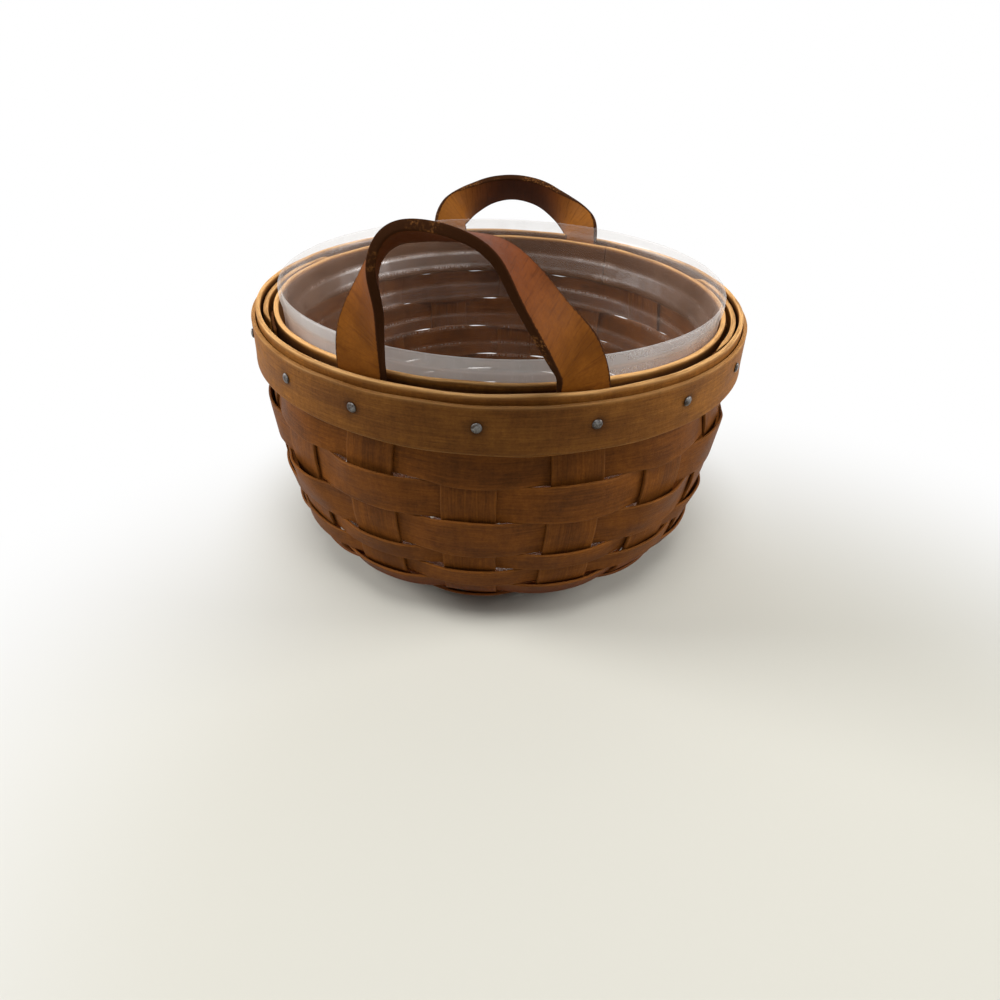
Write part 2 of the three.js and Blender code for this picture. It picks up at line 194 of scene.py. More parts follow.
def section_ring(flat_points, corner_steps):
    """Cross-section of a strip, walked once round from the middle of its left side. Columns: share across the
    flat, direction of the rounded edge there (two numbers), and the side, 1 outside and -1 inside."""
    flat = np.linspace(-1, 1, flat_points)
    flat = np.sort(np.concatenate([flat, [-EDGE_SHARE, EDGE_SHARE]]))
    turn = np.linspace(np.pi, np.pi / 2, corner_steps + 1)[:-1]
    left = np.stack([-np.ones_like(turn), np.cos(turn), np.sin(turn)], axis=1)
    face = np.stack([flat, 0 * flat, 1 + 0 * flat], axis=1)
    half = np.vstack([left, face, left[::-1] * (-1, -1, 1)])
    ones = np.ones((len(half), 1))
    return np.vstack([np.hstack([half, ones]), np.hstack([half[::-1] * (1, 1, -1), -ones])])


def inside_out(points, quads):
    """True if the quads run the wrong way round, so that the volume within them is negative."""
    a, b, c, d = (points[quads[:, i]] for i in range(4))
    return np.einsum("ij,ij->", a, np.cross(b, c) + np.cross(c, d)) < 0


def new_piece(name, points, faces, smooth):
    """A mesh of those corners and faces in the scene. Smooth says which faces are shaded as curved."""
    mesh = bpy.data.meshes.new(name)
    mesh.from_pydata(points * METRES, [], faces)
    mesh.polygons.foreach_set("use_smooth", smooth)
    mesh.update()
    piece = bpy.data.objects.new(name, mesh)
    scene.collection.objects.link(piece)
    return piece


def grid_solid(name, points, along, around, closed):
    """Closed mesh from rows of cross-section points: quads between neighbouring rows, and, unless the rows
    run in a circle, a row of quads across each end. The UV map holds along and around, in metres."""
    rows, count = points.shape[:2]
    row = np.arange(rows if closed else rows - 1)[:, None]
    column = np.arange(count)[None]
    next_row, next_column = (row + 1) % rows, (column + 1) % count
    corners = [row * count + column, next_row * count + column]
    corners += [next_row * count + next_column, row * count + next_column]
    faces = np.stack(corners, axis=-1).reshape(-1, 4)
    u = np.stack([along[row + step] + 0.0 * column for step in (0, 1, 1, 0)], axis=-1)
    v = np.stack([around[column + step] + 0.0 * row for step in (0, 0, 1, 1)], axis=-1)
    uv = np.stack([u, v], axis=-1).reshape(-1, 4, 2)
    smooth = np.ones(len(faces), bool)
    if not closed:
        i = np.arange(count // 2 - 1)
        cap = np.stack([i, i + 1, count - 2 - i, count - 1 - i], axis=1)
        end = cap[:, ::-1] + (rows - 1) * count
        cap_uv = np.stack([along[0] + 0 * cap, around[cap]], axis=-1)
        end_uv = np.stack([along[rows - 1] + 0 * cap, around[cap[:, ::-1]]], axis=-1)
        faces = np.vstack([faces, cap, end])
        uv = np.vstack([uv, cap_uv, end_uv])
        smooth = np.concatenate([smooth, np.zeros(2 * len(cap), bool)])
    flat = points.reshape(-1, 3)
    if inside_out(flat, faces):
        faces, uv = faces[:, ::-1], uv[:, ::-1]
    piece = new_piece(name, flat, faces.tolist(), smooth)
    fibre = piece.data.uv_layers.new(name="fibre")
    fibre.data.foreach_set("uv", (uv * METRES).astype(np.float32).ravel())
    return piece


def ovalled(points):
    """Points drawn in from side to side near the rim: x is multiplied by one minus a share that rises in a
    smooth S with the height and grows with the distance from the axis."""
    radius = np.clip(np.hypot(points[..., 0], points[..., 1]), *OVAL_RADII)
    share = OVAL_SHARE + OVAL_GROWTH * (radius - OVAL_RADII[0])
    share = share * smooth_step(OVAL_START, OVAL_END, points[..., 2])
    return np.stack([points[..., 0] * (1 - share), points[..., 1], points[..., 2]], axis=-1)


def paint(piece, key, values):
    """Stores one number for each corner of the piece's mesh under that name."""
    stored = piece.data.attributes.get(key) or piece.data.attributes.new(key, "FLOAT", "POINT")
    stored.data.foreach_set("value", np.ascontiguousarray(values, np.float32).ravel())


def strip(name, middle, across, outward, half_width, thickness, edge, ring, closed=False, bow=0, edge_wear_and_highlight=(1, 1)):
    """Solid strip: at each station, the ring's share of the half width is laid off across and half the
    thickness outwards, with edges rounded by edge. Bow sinks it by bow times the square of the distance
    across. The attribute edge is 0 on the faces and rises to the last argument's two numbers along the
    lower and the upper edge. On wood this mark is pale: abrasion, and where the upper number is the
    larger, also a painted highlight."""
    share, corner_x, corner_y, side = ring.T
    sizes = (half_width, thickness / 2, bow)
    wide, thick, sink = (np.reshape(size, (-1, 1)) + np.zeros((len(middle), 1)) for size in sizes)
    x = share * (wide - edge) + corner_x * edge
    y = side * (thick - edge) + corner_y * edge - sink * x**2
    points = ovalled(middle[:, None] + x[..., None] * across[:, None] + y[..., None] * outward[:, None])
    travel = distance_along(np.vstack([middle, middle[:1]]) if closed else middle)
    widest = int(np.argmax(wide[:, 0]))
    loop = np.stack([x[widest], y[widest]], axis=1)
    around = distance_along(np.vstack([loop, loop[:1]]))
    start = random.uniform(0, GRAIN_LENGTH, 2)
    piece = grid_solid(name, points, travel + start[0], around + start[1], closed)
    face_edge = np.clip((np.abs(share) - EDGE_MARK_FROM) / (1 - EDGE_MARK_FROM), 0, 1)
    edge_mark = FACE_EDGE_MARK * face_edge + (1 - FACE_EDGE_MARK) * (np.abs(corner_x) > 0)
    paint(piece, "edge", np.broadcast_to(edge_mark * np.where(share < 0, *edge_wear_and_highlight), x.shape))
    return piece


def srgb(red, green, blue):
    """A colour given as on a screen, from 0 to 255, as the linear colour that a shader takes."""
    share = np.array([red, green, blue]) / 255
    linear = np.where(share <= 0.04045, share / 12.92, ((share + 0.055) / 1.055) ** 2.4)
    return (*linear.tolist(), 1)


def new_material(name):
    """An empty node material and its tree."""
    made = bpy.data.materials.new(name)
    made.use_nodes = True
    made.node_tree.nodes.clear()
    return made, made.node_tree


def node(tree, kind, sockets, **settings):
    """One shader node. Each socket named gets a plain value or another node's output."""
    made = tree.nodes.new("ShaderNode" + kind)
    for key, value in settings.items():
        setattr(made, key, value)
    for key, value in sockets.items():
        if isinstance(value, bpy.types.NodeSocket):
            tree.links.new(value, made.inputs[key])
        else:
            made.inputs[key].default_value = value
    return made


def mixed(tree, share, first, second, blend="MIX"):
    """The first colour going over to the second as share goes from 0 to 1."""
    return node(tree, "Mix", {0: share, 6: first, 7: second}, data_type="RGBA", blend_type=blend).outputs[2]


def ranged(tree, value, low, high, start=0.0, end=1.0):
    """Value stretched so that low becomes start and high becomes end, with a smooth S and no overshoot."""
    sockets = {"Value": value, "From Min": low, "From Max": high, "To Min": start, "To Max": end}
    return node(tree, "MapRange", sockets, interpolation_type="SMOOTHSTEP").outputs["Result"]


def math(tree, operation, first, second):
    """One arithmetic step on two numbers."""
    return node(tree, "Math", {0: first, 1: second}, operation=operation).outputs[0]


def product(tree, first, *others):
    """The numbers multiplied by each other."""
    for other in others:
        first = math(tree, "MULTIPLY", first, other)
    return first


def total(tree, first, *others):
    """The numbers added up."""
    for other in others:
        first = math(tree, "ADD", first, other)
    return first


def noise(tree, position, stretch, detail=3.0, roughness=0.5, distortion=0.0):
    """Noise about 0.5, with the position multiplied by stretch first: larger numbers give finer marks."""
    place = node(tree, "VectorMath", {0: position, 1: stretch}, operation="MULTIPLY").outputs[0]
    sockets = {"Vector": place, "Scale": 1.0, "Detail": detail, "Roughness": roughness}
    return node(tree, "TexNoise", {**sockets, "Distortion": distortion}).outputs["Fac"]


def millimetres(tree, source):
    """A position in metres as millimetres."""
    return node(tree, "VectorMath", {0: source, "Scale": 1000.0}, operation="SCALE").outputs[0]


def relief(tree, height, strength=0.7, depth=0.00012):
    """Surface direction over small bumps, as deep as depth in metres."""
    sockets = {"Strength": strength, "Distance": depth, "Height": height}
    return node(tree, "Bump", sockets).outputs["Normal"]


def strip_place(tree):
    """Where a point lies on its strip: along and around, in millimetres."""
    return millimetres(tree, node(tree, "UVMap", {}, uv_map="fibre").outputs[0])


def basket_place(tree):
    """Where a point lies on the basket, in millimetres."""
    return millimetres(tree, node(tree, "TexCoord", {}).outputs["Object"])


def painted(tree, key):
    """The number that paint stored under that name."""
    return node(tree, "Attribute", {}, attribute_name=key).outputs["Fac"]


def surfaced(tree, shader):
    """Puts the shader on the surface."""
    node(tree, "OutputMaterial", {"Surface": shader})


def wood(name, light, dark, edge_colour, edge_share, low_shade_colour, darkened_and_shaded=False):
    """Split wood under a matt staining: blotches a finger's width long, streaks and fibres along the strip, a
    little curl across it, small pits, short dark flecks, and paler edges from abrasion, which on the hoops'
    upper edges are also a painted highlight. Painted shade darkens and reddens the wood low down. The last
    argument adds the dark painted into the hoops: round the nails, and painted shade on their fronts and in
    the slot."""
    made, tree = new_material(name)
    fibre = strip_place(tree)
    place = basket_place(tree)
    blotches = noise(tree, fibre, (0.045, 0.09, 0), detail=3)
    bands = noise(tree, fibre, (0.035, 1.1, 0), detail=4, roughness=0.6, distortion=0.3)
    fibres = noise(tree, fibre, (0.11, 1.9, 0), detail=5, roughness=0.75)
    curl = noise(tree, fibre, (0.45, 0.12, 0), detail=4, roughness=0.65)
    pits = noise(tree, place, (1.3, 1.3, 1.3), detail=4, roughness=0.7)
    pores = noise(tree, fibre, (0.35, 5.0, 0), detail=1)
    tone = total(tree, product(tree, blotches, 0.6), product(tree, bands, 0.4))
    colour = mixed(tree, ranged(tree, tone, 0.34, 0.66), dark, light)
    fibre_shade = ranged(tree, fibres, 0.3, 0.7, 0.78, 1.2)
    curl_shade = ranged(tree, curl, 0.3, 0.7, 0.88, 1.1)
    pit_shade = ranged(tree, pits, 0.3, 0.7, 0.86, 1.12)
    colour = mixed(tree, 1.0, colour, product(tree, fibre_shade, curl_shade, pit_shade), "MULTIPLY")
    flecks = ranged(tree, pores, 0.66, 0.76, 0.0, 0.6)
    colour = mixed(tree, flecks, colour, srgb(58, 32, 14))
    # Painted shade: below 24 mm the low colour is multiplied in, darker and redder towards the floor.
    height = node(tree, "SeparateXYZ", {0: place}).outputs["Z"]
    colour = mixed(tree, ranged(tree, height, 24.0, 12.0, 0.0, 0.8), colour, low_shade_colour, "MULTIPLY")
    broken = ranged(tree, noise(tree, fibre, (0.06, 0.8, 0), detail=4, roughness=0.6), 0.3, 0.6, 0.3, 1.0)
    edge_mark = product(tree, painted(tree, "edge"), broken, edge_share)
    colour = mixed(tree, edge_mark, colour, edge_colour)
    # The dark painted into the hoops: darker round the nails, and painted shade on their fronts and deep in
    # the slot.
    if darkened_and_shaded:
        colour = mixed(tree, product(tree, painted(tree, "nail_dark_and_shade"), 0.8), colour, srgb(46, 24, 12))
    bump = relief(tree, total(tree, fibres, product(tree, pits, 0.6)))
    gloss = ranged(tree, blotches, 0.3, 0.7, 0.48, 0.62)
    sockets = {"Base Color": colour, "Roughness": gloss, "Normal": bump, "Specular IOR Level": 0.06}
    surfaced(tree, node(tree, "BsdfPrincipled", sockets).outputs[0])
    return made


# Painted shade in its low colour darkens and reddens it towards the floor.
stained_maple = wood(
    "stained_maple_wood",
    light=srgb(118, 68, 23),
    dark=srgb(88, 49, 16),
    edge_colour=srgb(144, 92, 42),
    edge_share=0.28,
    low_shade_colour=srgb(205, 160, 140),
)
wide_ring = section_ring(9, 2)


def add(piece, material, body, slot, *nodes):
    """Gives the piece its material and body, and hides the CAD nodes that it stands for. Slot is not used."""
    piece.data.materials.append(material)
    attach(piece, body)
    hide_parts(*nodes)


for layer in range(STAKES // 2):
    line = side_line(layer)
    along = distance_along(line)
    direction = outward_of(line)
    sign = np.where(np.arange(len(row_edges)) % 2 == layer % 2, -1.0, 1.0)
    sway = np.interp(along, row_middles, STAKE_SWAY * sign, left=0, right=0)
    line = line + direction * softened(sway[:, None], SWAY_REACH)
    both = np.vstack([line, line[-2::-1] * (-1, 1)])
    facing = np.vstack([direction, direction[-2::-1] * (-1, 1)])
    radius = np.abs(both[:, 0])
    radial = outward_at(layer * PITCH)
    sideways = sideways_at(layer * PITCH)
    wander = np.sin(np.linspace(0, DRIFT_TURN, len(both)) + random.uniform(0, DRIFT_START))
    drift = STAKE_DRIFT * wander * smooth_step(*DRIFT_RADII, radius)
    middle = both[:, :1] * radial + both[:, 1:] * UPWARD + drift[:, None] * sideways
    outward = facing[:, :1] * radial + facing[:, 1:] * UPWARD
    width = np.clip(SPLINT_TAPER * radius, SPLINT_WAIST, SPLINT_WIDTH)
    curl = np.abs(facing[:, 0]) / (2 * np.maximum(radius, CROSSING_EDGE))
    across = np.tile(sideways, (len(both), 1))
    sizes = (width / 2, SPLINT_THICKNESS, SPLIT_EDGE)
    splint = strip(f"splint_{layer + 1}", middle, across, outward, *sizes, wide_ring, bow=curl)
    add(splint, stained_maple, "basket", "stained_maple", f"stake_splint_{layer + 1}")


# Weavers
# Rings of the same split maple, woven over one stake and under the next: three wide and two narrow ones down
# the wall, four narrow ones round the heel and four under the base. Only their own spring holds them, so they
# bulge over each stake and stand a little off it. The basket rests on the base rings where they pass under a
# splint.

WEAVER_THICKNESS = 0.9
WEAVER_LIFT = 1.3
STATIONS_PER_STAKE = 22
SEAM_PAIRS = (3, 6)  # a ring's grain starts this many pairs of stakes on, at least and less than
FULLNESS = 0.3  # how much a weaver's wave is fuller near its crests than a cosine
CROSSING_START = 0.35  # share of a crest's height at which a weaver begins to widen at a stake
LEAN_START = 0.2  # the same for its lean
HINGING = 0.3  # 0 leans a weaver about its middle, 1 about its lower edge
WIDTH_WAVE = 0.12  # unevenness of a weaver's half width
SHIFT_WAVE = 0.18  # unevenness of its place, as a share of its swell
LEAN_WAVE = 0.5  # unevenness of its lean, as a share of the lean


def wave(angle, harmonics, amount):
    """Slow unevenness round a ring: cosines of the given numbers of waves with random phases, added up and
    divided by the square root of how many they are."""
    phases = random.uniform(0, 2 * np.pi, len(harmonics))
    return amount * sum(np.cos(n * angle + p) for n, p in zip(harmonics, phases)) / np.sqrt(len(harmonics))


def weaver(name, row, swell, play, lean, unevenness):
    """Ring along the wall line between two row edges. Its lift is a cosine that turns over at each stake,
    made fuller near its crests. It is widest where it crosses a stake, and leans where it crosses outside
    one, so that its upper edge stands off."""
    low, high = row_edges[row]
    start = PITCH * (1 - row % 2 + 2 * random.integers(*SEAM_PAIRS))
    angle = start + np.linspace(0, 2 * np.pi, STAKES * STATIONS_PER_STAKE, endpoint=False)
    crest = np.cos(STAKES / 2 * angle) * (1 if row % 2 == 0 else -1)
    fuller = crest * (1 + FULLNESS * (1 - crest**2))
    lift = WEAVER_LIFT * fuller * (1 + wave(angle, range(3, 9), unevenness))
    crossing = smooth_step(CROSSING_START, 1, np.abs(crest))
    half_width = (high - low) / 2 - play + swell * crossing + wave(angle, range(4, 11), WIDTH_WAVE)
    position = (low + high) / 2 + wave(angle, range(3, 12), SHIFT_WAVE * swell)
    tilt = lean * smooth_step(LEAN_START, 1, crest) * (1 + wave(angle, range(3, 9), LEAN_WAVE))
    lift = lift + HINGING * tilt * half_width
    facing = unit(interpolated(position, wall_along, outward_of(wall_line)))
    line = interpolated(position, wall_along, wall_line) + facing * lift[:, None]
    radial = outward_at(angle)
    middle = line[:, :1] * radial + line[:, 1:] * UPWARD
    outward = facing[:, :1] * radial + facing[:, 1:] * UPWARD
    upward = -facing[:, 1:] * radial + facing[:, :1] * UPWARD
    across = unit(upward + outward * tilt[:, None])
    run = unit(np.roll(middle, -1, axis=0) - np.roll(middle, 1, axis=0))
    square = unit(np.cross(run, across))
    square *= np.sign(np.einsum("ij,ij->i", square, outward))[:, None]
    sizes = (half_width, WEAVER_THICKNESS, SPLIT_EDGE)
    return strip(name, middle, across, square, *sizes, wide_ring, closed=True)


# Each kind of row: its name here and in the CAD, how many, then swell, play, lean and unevenness.
ROWS = [
    ("wall", "wall", int((WALL_ROWS == 1).sum()), 0.9, 0.06, 0.1, 0.1),
    ("narrow", "wall", int((WALL_ROWS < 1).sum()), 0.35, 0.2, 0.1, 0.1),
    ("heel", "heel", HEEL_ROWS, 0.15, 0.3, 0.03, 0.06),
    ("base", "base", BASE_ROWS, 0.1, 0.25, 0, 0),
]

rows_woven = {"wall": 0, "heel": 0, "base": 0}
for kind, family, count, *fit in ROWS:
    for i in range(count):
        piece = weaver(f"{kind}_ring_{i + 1}", sum(rows_woven.values()), *fit)
        rows_woven[family] += 1
        add(piece, stained_maple, "basket", "stained_maple", f"{family}_weaver_{rows_woven[family]}")


# Rim hoops
# Three bent strips of maple: a thick inner and outer hoop that hold the ends of the stakes and of the leather
# between them, and a narrow trim hoop round the outside. Their top edges are rounded and pale from abrasion,
# with a painted highlight along them. Painted shade darkens their fronts and the faces deep in the slot. The
# leather pushes the inner hoop in and up at the front.

TRIM_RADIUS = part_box("trim_hoop")[1].x / METRES
INNER_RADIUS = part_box("inner_hoop")[1].x / METRES
OUTER_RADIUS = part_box("outer_hoop")[1].x / METRES
# Each hoop: thickness, degrees at which its ends meet, rounding of its edges, how pale its lower and upper
# edge are (abrasion, and on the upper edge a painted highlight), how far the leather pushes it outwards and
# upwards at the front, and how much painted shade darkens it there.
HOOPS = {
    "inner_hoop": (1.7, 150, 0.45, (0.15, 1), (-1.1, 0.9), 0.08),
    "outer_hoop": (1.6, 264, 0.42, (0.15, 1), (0.15, 0), 0.38),
    "trim_hoop": (1.6, 205, 0.35, (0.1, 0.4), (0.15, 0), 0.68),
}
HOOP_STATIONS = 640
HOOP_GAP = 0.0015  # half of what is left open where its ends meet, in radians
HEIGHT_WAVE = 0.12  # unevenness of a hoop's height
RADIUS_WAVE = 0.04  # of its radius
RIM_WIDTH_WAVE = 0.1  # and of its half width
FRONT_EDGE = 0.5  # cosine of the angle up to which the leather pushes the front
SLOT_SHADE_DEPTHS = (0.4, 1.4)  # below the top edge, between which painted shade darkens the faces in the slot
NAIL_LEVEL = RIM_TOP - 9.3
NAIL_DARKENING = 0.6  # how dark the trim is round a nail
NAIL_DARKENING_RADIUS = 2.5
NAIL_DARKENING_DEPTH = 1  # below the trim's outer face
# How far each nail lies along the rim from its stake's middle, for they were placed by eye.
NAIL_DRIFTS = [2.8, 2.2, 0.2, -1.4, 1.2, 0.6, -2, 1, -0.8, 1.6, -1, 0.4, 1.8, -0.6, 5.4, -0.3]
nail_angles = np.arange(STAKES) * PITCH + np.array(NAIL_DRIFTS) / TRIM_RADIUS

# Its pale edge colour is abrasion, and along the hoops' upper edges also a painted highlight. It also takes
# the dark round the nails and the painted shade of the hoops.
rim_maple = wood(
    "rim_maple_wood",
    light=srgb(152, 98, 40),
    dark=srgb(120, 73, 26),
    edge_colour=srgb(232, 180, 116),
    edge_share=0.9,
    low_shade_colour=srgb(255, 255, 255),
    darkened_and_shaded=True,
)


def coordinates(piece):
    """The corners of the piece's mesh, in millimetres."""
    points = np.zeros(len(piece.data.vertices) * 3, np.float32)
    piece.data.vertices.foreach_get("co", points)
    return points.reshape(-1, 3) / METRES


def near_nails(points):
    """1 at each nail, falling off as a bell on the outside of the trim, and 0 elsewhere."""
    angle = np.arctan2(points[..., 0], -points[..., 1])[..., None]
    apart = np.angle(np.exp(1j * (angle - nail_angles))) * TRIM_RADIUS
    rise = points[..., 2:] - NAIL_LEVEL
    outside = np.hypot(points[..., 0], points[..., 1]) > TRIM_RADIUS - NAIL_DARKENING_DEPTH
    return np.exp(-(apart**2 + rise**2) / NAIL_DARKENING_RADIUS**2).max(axis=-1) * outside


hoop_ring = section_ring(17, 4)
for name, (thickness, seam_degrees, edge, edge_wear_and_highlight, (push_out, push_up), front_shade) in HOOPS.items():
    low, high = (corner.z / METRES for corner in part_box(name))
    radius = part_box(name)[1].x / METRES - thickness / 2
    seam = np.radians(seam_degrees)
    angle = np.linspace(seam + HOOP_GAP, seam + 2 * np.pi - HOOP_GAP, HOOP_STATIONS)
    radial = outward_at(angle)
    front = smooth_step(FRONT_EDGE, 1, np.cos(angle))
    height = (low + high) / 2 + wave(angle, range(2, 8), HEIGHT_WAVE) + push_up * front
    reach = radius + wave(angle, range(3, 9), RADIUS_WAVE) + push_out * front
    middle = radial * reach[:, None] + height[:, None] * UPWARD
    upward = np.tile(UPWARD, (len(angle), 1))
    half_width = (high - low) / 2 + wave(angle, range(5, 24), RIM_WIDTH_WAVE)
    piece = strip(name + "_band", middle, upward, radial, half_width, thickness, edge, hoop_ring, edge_wear_and_highlight=edge_wear_and_highlight)
    points = coordinates(piece)
    # Painted shade: the front of each hoop is darkened by the last number in its row, most at the very front.
    painted_front_shade = front_shade * np.clip(-points[:, 1] / radius, 0, 1) ** 2
    # Painted shade: the inside faces, and every face of the inner hoop, darken deep in the slot below the top
    # edge.
    dark_face = (hoop_ring[:, 3] < 0) | (name == "inner_hoop")
    painted_slot_shade = np.tile(dark_face, len(middle)) * smooth_step(*SLOT_SHADE_DEPTHS, high - points[:, 2])
    # Stored together: the dark round the nails, and the painted shade of the front and of the slot.
    paint(piece, "nail_dark_and_shade", np.maximum(NAIL_DARKENING * near_nails(points) + painted_front_shade, painted_slot_shade))
    add(piece, rim_maple, "basket", "rim_maple", name)


# Rim fillers
# Strips of maple bent into the slot between the inner and outer hoop, one on each side between the ears,
# where the slot holds no leather. Their ends are thinned and cut lower with a knife.

FILLER_THICKNESS = 1.8
FILLER_EDGE = 0.33
FILLER_OFFSET = 0.5  # they lie this far outside the middle of the slot
FILLER_REACH = np.radians(27)
FILLER_STATIONS = 120
FILLER_TAPER = 0.09  # radians over which the ends are thinned
TIP_THICKNESS = 0.3  # what is left of the thickness at the tips
TIP_INSET = 0.9
TIP_CUT = 1.2  # what the tips lose of their half width

for side, heading in {"right": np.pi / 2, "left": 1.5 * np.pi}.items():
    name = side + "_rim_filler"
    low, high = (corner.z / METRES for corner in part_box(name))
    radius = (INNER_RADIUS + OUTER_RADIUS - HOOPS["outer_hoop"][0]) / 2 + FILLER_OFFSET
    angle = heading + np.linspace(-FILLER_REACH, FILLER_REACH, FILLER_STATIONS)
    radial = outward_at(angle)
    tip = 1 - smooth_step(0, FILLER_TAPER, FILLER_REACH - np.abs(angle - heading))
    middle = radial * (radius - TIP_INSET * tip)[:, None] + (low + high) / 2 * UPWARD
    upward = np.tile(UPWARD, (len(angle), 1))
    half_width = (high - low) / 2 + wave(angle, range(5, 24), RIM_WIDTH_WAVE) - TIP_CUT * tip
    thickness = FILLER_THICKNESS * (1 - (1 - TIP_THICKNESS) * tip)
    piece = strip(
        name + "_strip", middle, upward, radial, half_width, thickness, FILLER_EDGE, section_ring(9, 3)
    )
    add(piece, rim_maple, "basket", "rim_maple", name)


# Nails
# Sixteen small steel nails with domed heads, driven by hand through the rim at each stake. Their shanks pass
# through all three hoops, and the trim has darkened round their heads.

NAIL_HEAD_RADIUS = 1.65
NAIL_HEAD_HEIGHT = 0.8
HEAD_RIM = 0.18  # share of the head's height at which its dome starts
HEAD_FULLNESS = 0.8  # below 1 the dome is fuller than a round one
HEAD_UNDERCUT = 0.15  # the underside's radius is that much smaller
NAIL_SHANK_RADIUS = 0.6
NAIL_REACH = 9.8  # from the underside of the head to the tip
NAIL_POINT = 1.2  # length of the tapered point
NAIL_TIP = (0.15, 0.1)  # radius and length of its blunt tip
NAIL_GAP = 0.1  # between the trim and the underside of the head
NAIL_SKEW = 0.06  # most that a nail leans sideways and up or down
NAIL_SIDES = 24


def turned_points(profile, sides):
    """Rows of points of a profile of radii and heights turned round the Z axis."""
    turn = np.linspace(0, 2 * np.pi, sides, endpoint=False)
    radius, height = (np.asarray(profile, float)[:, i, None] for i in (0, 1))
    return np.stack([radius * np.sin(turn), -radius * np.cos(turn), height + 0 * turn], axis=-1)


def turned_solid(name, points):
    """Closed mesh from rows of turned points. The first and last row lie on the axis and become one point."""
    rows, sides = points.shape[:2]
    inner = points[1:-1].reshape(-1, 3)
    vertices = np.vstack([inner, points[[0, -1], 0]])
    row = np.arange(rows - 3)[:, None] * sides
    column = np.arange(sides)[None]
    after = (column + 1) % sides
    corners = [row + column, row + after, row + sides + after, row + sides + column]
    quads = np.stack(corners, axis=-1).reshape(-1, 4)
    first, last = len(inner), len(inner) + 1
    top = (rows - 3) * sides
    fan = np.arange(sides)
    start_fan = np.stack([np.roll(fan, -1), fan, first + 0 * fan], axis=1)
    end_fan = np.stack([top + fan, top + np.roll(fan, -1), last + 0 * fan], axis=1)
    turn = -1 if inside_out(vertices, quads) else 1
    faces = [face for part in (quads, start_fan, end_fan) for face in part[:, ::turn].tolist()]
    return new_piece(name, vertices, faces, np.ones(len(faces), bool))


def steel_material():
    """Dull steel: grey, finely scratched, with brown grime in patches."""
    made, tree = new_material("nail_steel_metal")
    place = basket_place(tree)
    scratches = noise(tree, place, (1.6, 1.6, 1.6), detail=5, roughness=0.65)
    grime = ranged(tree, noise(tree, place, (0.7, 0.7, 0.7), detail=3), 0.42, 0.62)
    colour = mixed(tree, ranged(tree, scratches, 0.35, 0.65), srgb(82, 80, 80), srgb(122, 120, 118))
    colour = mixed(tree, grime, colour, srgb(62, 54, 48))
    bump = relief(tree, scratches, 0.5, 0.00005)
    gloss = ranged(tree, scratches, 0.3, 0.7, 0.3, 0.48)
    sockets = {"Base Color": colour, "Roughness": gloss, "Normal": bump, "Metallic": 0.9}
    surfaced(tree, node(tree, "BsdfPrincipled", sockets).outputs[0])
    return made


nail_steel = steel_material()
dome = np.linspace(0, np.pi / 2, 7)[:-1]
dome_radii = NAIL_HEAD_RADIUS * np.cos(dome) ** HEAD_FULLNESS
dome_heights = NAIL_HEAD_HEIGHT * (HEAD_RIM + (1 - HEAD_RIM) * np.sin(dome))
nail_profile = [
    (0, -NAIL_REACH),
    (NAIL_TIP[0], -NAIL_REACH + NAIL_TIP[1]),
    (NAIL_SHANK_RADIUS, -NAIL_REACH + NAIL_POINT),
    (NAIL_SHANK_RADIUS, 0),
    (NAIL_HEAD_RADIUS - HEAD_UNDERCUT, 0),
    *zip(dome_radii, dome_heights),
    (0, NAIL_HEAD_HEIGHT),
]

for i, angle in enumerate(nail_angles):
    radial = outward_at(angle)
    aim = radial + random.uniform(-NAIL_SKEW, NAIL_SKEW) * sideways_at(angle)
    aim = unit(aim + random.uniform(-NAIL_SKEW, NAIL_SKEW) * UPWARD)
    side = unit(np.cross(UPWARD, aim))
    nail_axes = np.stack([side, np.cross(aim, side), aim])
    points = turned_points(nail_profile, NAIL_SIDES) @ nail_axes
    points = ovalled(points + radial * (TRIM_RADIUS + NAIL_GAP) + UPWARD * NAIL_LEVEL)
    piece = turned_solid(f"nail_{i + 1:02d}", points)
    add(piece, nail_steel, "basket", "nail_steel", f"rim_nail_{i + 1:02d}")


# Leather ears
# Two handles, each one thick strap of leather cut with a knife. Its ends stand in the slot of the rim and are
# held by a nail each, and the strap twists as it loops over. Its cut edges are darker.

LEATHER_THICKNESS = 2.8
LEATHER_EDGE = 0.55
LEATHER_TAIL = 15
LEATHER_CURL = 0.0025  # above the rim its edges curl outwards by this times the distance squared
KNIFE_WANDER = 0.2  # unevenness of the strap's half width
KNIFE_WAVES = (7, 17)  # millimetres for each radian of its two waves
SLOT_HEIGHTS = (RIM_TOP + 8, RIM_TOP - 2)  # between which the strap takes on the slot's curve
APEX_SHARES = (0.15, 0.45)  # shares of the strap between which it takes on the colour of its top
FOOT_RADIUS = 86.4
EAR_STEPS = 20  # points from one station to the next
EAR_REACH = 12  # points to each side over which the loop is smoothed
